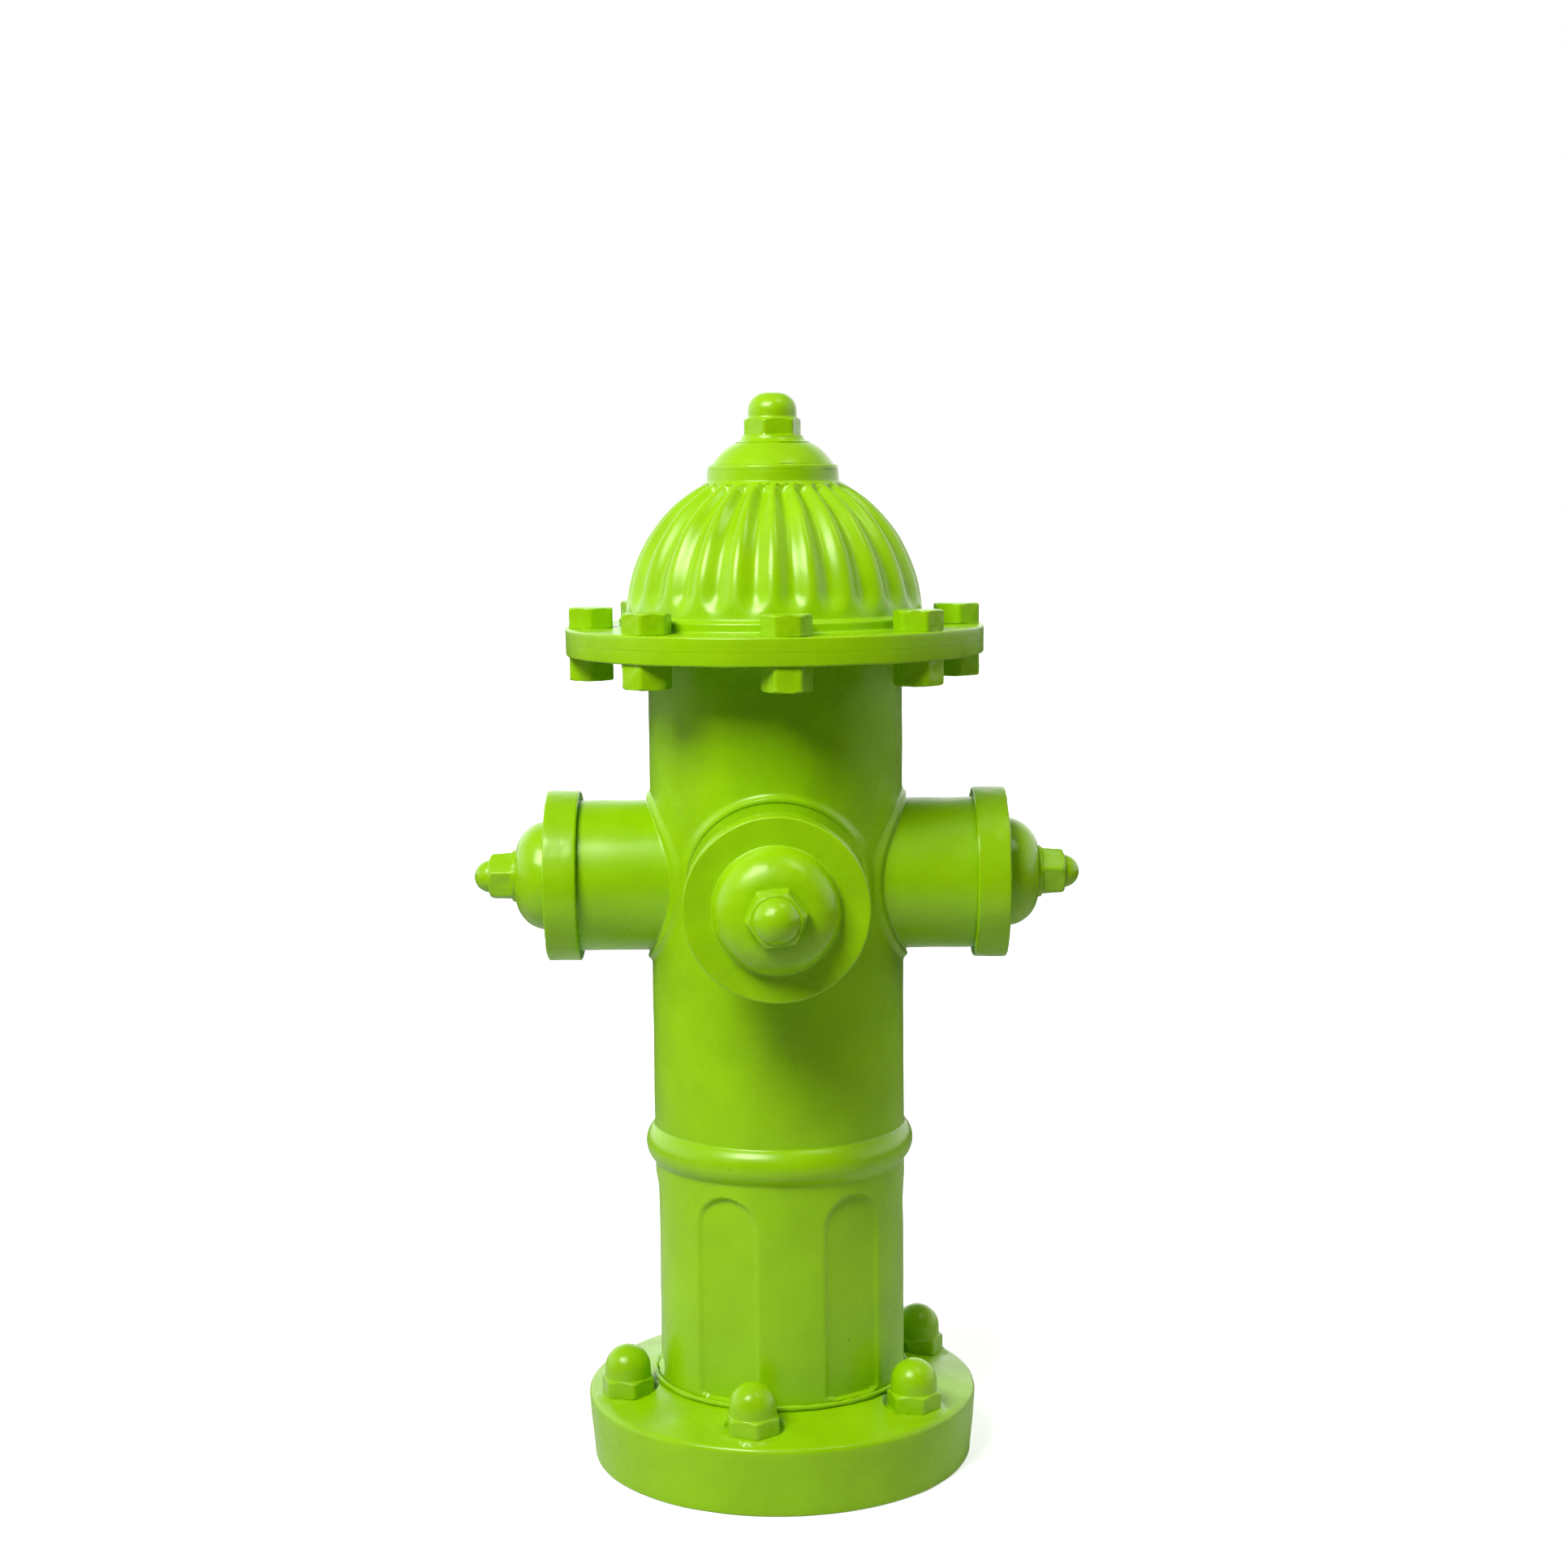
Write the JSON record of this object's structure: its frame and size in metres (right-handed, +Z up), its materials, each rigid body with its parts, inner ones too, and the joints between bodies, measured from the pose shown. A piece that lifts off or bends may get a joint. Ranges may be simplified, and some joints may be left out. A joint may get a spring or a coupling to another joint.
{
  "type": "fire hydrant",
  "caption": "Upright dry-barrel fire hydrant with a fluted domed bonnet, capped hose outlets, a bolted flange, a hexagonal operating nut and a round foot flange.",
  "frame": {"origin": "centre of the foot flange's underside, on the barrel axis", "axes": "+Z up along the barrel and the stem, -Y out of the front outlet, +X out of the right outlet"},
  "size_m": [0.4806, 0.4044, 0.8495],
  "materials": {
    "green_paint": "satin gloss enamel over cast iron",
    "bronze": "machined bronze",
    "steel": "turned steel",
    "bare_iron": "bare casting",
    "rubber": "moulded rubber"
  },
  "bodies": {
    "hydrant": {"foot_flange": "green_paint", "joint_bead": "green_paint", "foot_cap_nuts": "green_paint", "barrel": "green_paint", "bonnet": "green_paint", "bonnet_bolts": "green_paint", "bonnet_nuts": "green_paint", "hold_down_nut": "green_paint", "nozzle_front": "bronze", "nozzle_left": "bronze", "nozzle_right": "bronze", "seat_ring": "bronze", "seal_plate": "bronze", "thrust_washer_lower": "bronze", "thrust_washer_upper": "bronze", "nozzle_set_screws": "steel", "stem_seal_rings": "rubber", "hold_down_seal_ring": "rubber", "bonnet_gasket": "rubber"},
    "stem": {"upper_stem": "steel", "lower_stem": "steel", "coupling_pins": "steel", "stop_nut": "steel", "stem_coupling": "bare_iron", "valve_lower_plate": "bare_iron", "valve_disc": "rubber", "valve_upper_plate": "bronze", "valve_lock_nut": "bronze"},
    "operating_nut": {"operating_nut": "green_paint"},
    "gasket_front": {"cap_gasket_front": "rubber"},
    "cap_front": {"cap_front": "green_paint"},
    "gasket_left": {"cap_gasket_left": "rubber"},
    "cap_left": {"cap_left": "green_paint"},
    "gasket_right": {"cap_gasket_right": "rubber"},
    "cap_right": {"cap_right": "green_paint"}
  },
  "joints": [
    {"name": "nut_turn", "type": "hinge", "parent": "hydrant", "child": "operating_nut", "pos_m": [0, 0, 0.8], "axis": [0, 0, 1], "range_deg": [0, 2880]},
    {"name": "valve_travel", "type": "slide", "parent": "hydrant", "child": "stem", "axis": [0, 0, -1], "range_m": [0, 0.0508]},
    {"name": "cap_front_travel", "type": "slide", "parent": "hydrant", "child": "gasket_front", "axis": [0, -1, 0], "range_m": [0, 0.0212]},
    {"name": "cap_front_turn", "type": "hinge", "parent": "gasket_front", "child": "cap_front", "pos_m": [0, -0.1562, 0.471], "axis": [0, -1, 0], "range_deg": [0, 1800]},
    {"name": "cap_right_travel", "type": "slide", "parent": "hydrant", "child": "gasket_right", "axis": [1, 0, 0], "range_m": [0, 0.0212]},
    {"name": "cap_right_turn", "type": "hinge", "parent": "gasket_right", "child": "cap_right", "pos_m": [0.1562, 0, 0.471], "axis": [1, 0, 0], "range_deg": [0, 1800]},
    {"name": "cap_left_travel", "type": "slide", "parent": "hydrant", "child": "gasket_left", "axis": [-1, 0, 0], "range_m": [0, 0.0212]},
    {"name": "cap_left_turn", "type": "hinge", "parent": "gasket_left", "child": "cap_left", "pos_m": [-0.1562, 0, 0.471], "axis": [-1, 0, 0], "range_deg": [0, 1800]}
  ],
  "couplings": [
    {"joint": "nut_turn", "follows": "valve_travel", "rad_per_m": 989.48},
    {"joint": "cap_front_travel", "follows": "cap_front_turn", "m_per_rad": 0.00067376},
    {"joint": "cap_right_travel", "follows": "cap_right_turn", "m_per_rad": 0.00067376},
    {"joint": "cap_left_travel", "follows": "cap_left_turn", "m_per_rad": 0.00067376}
  ]
}
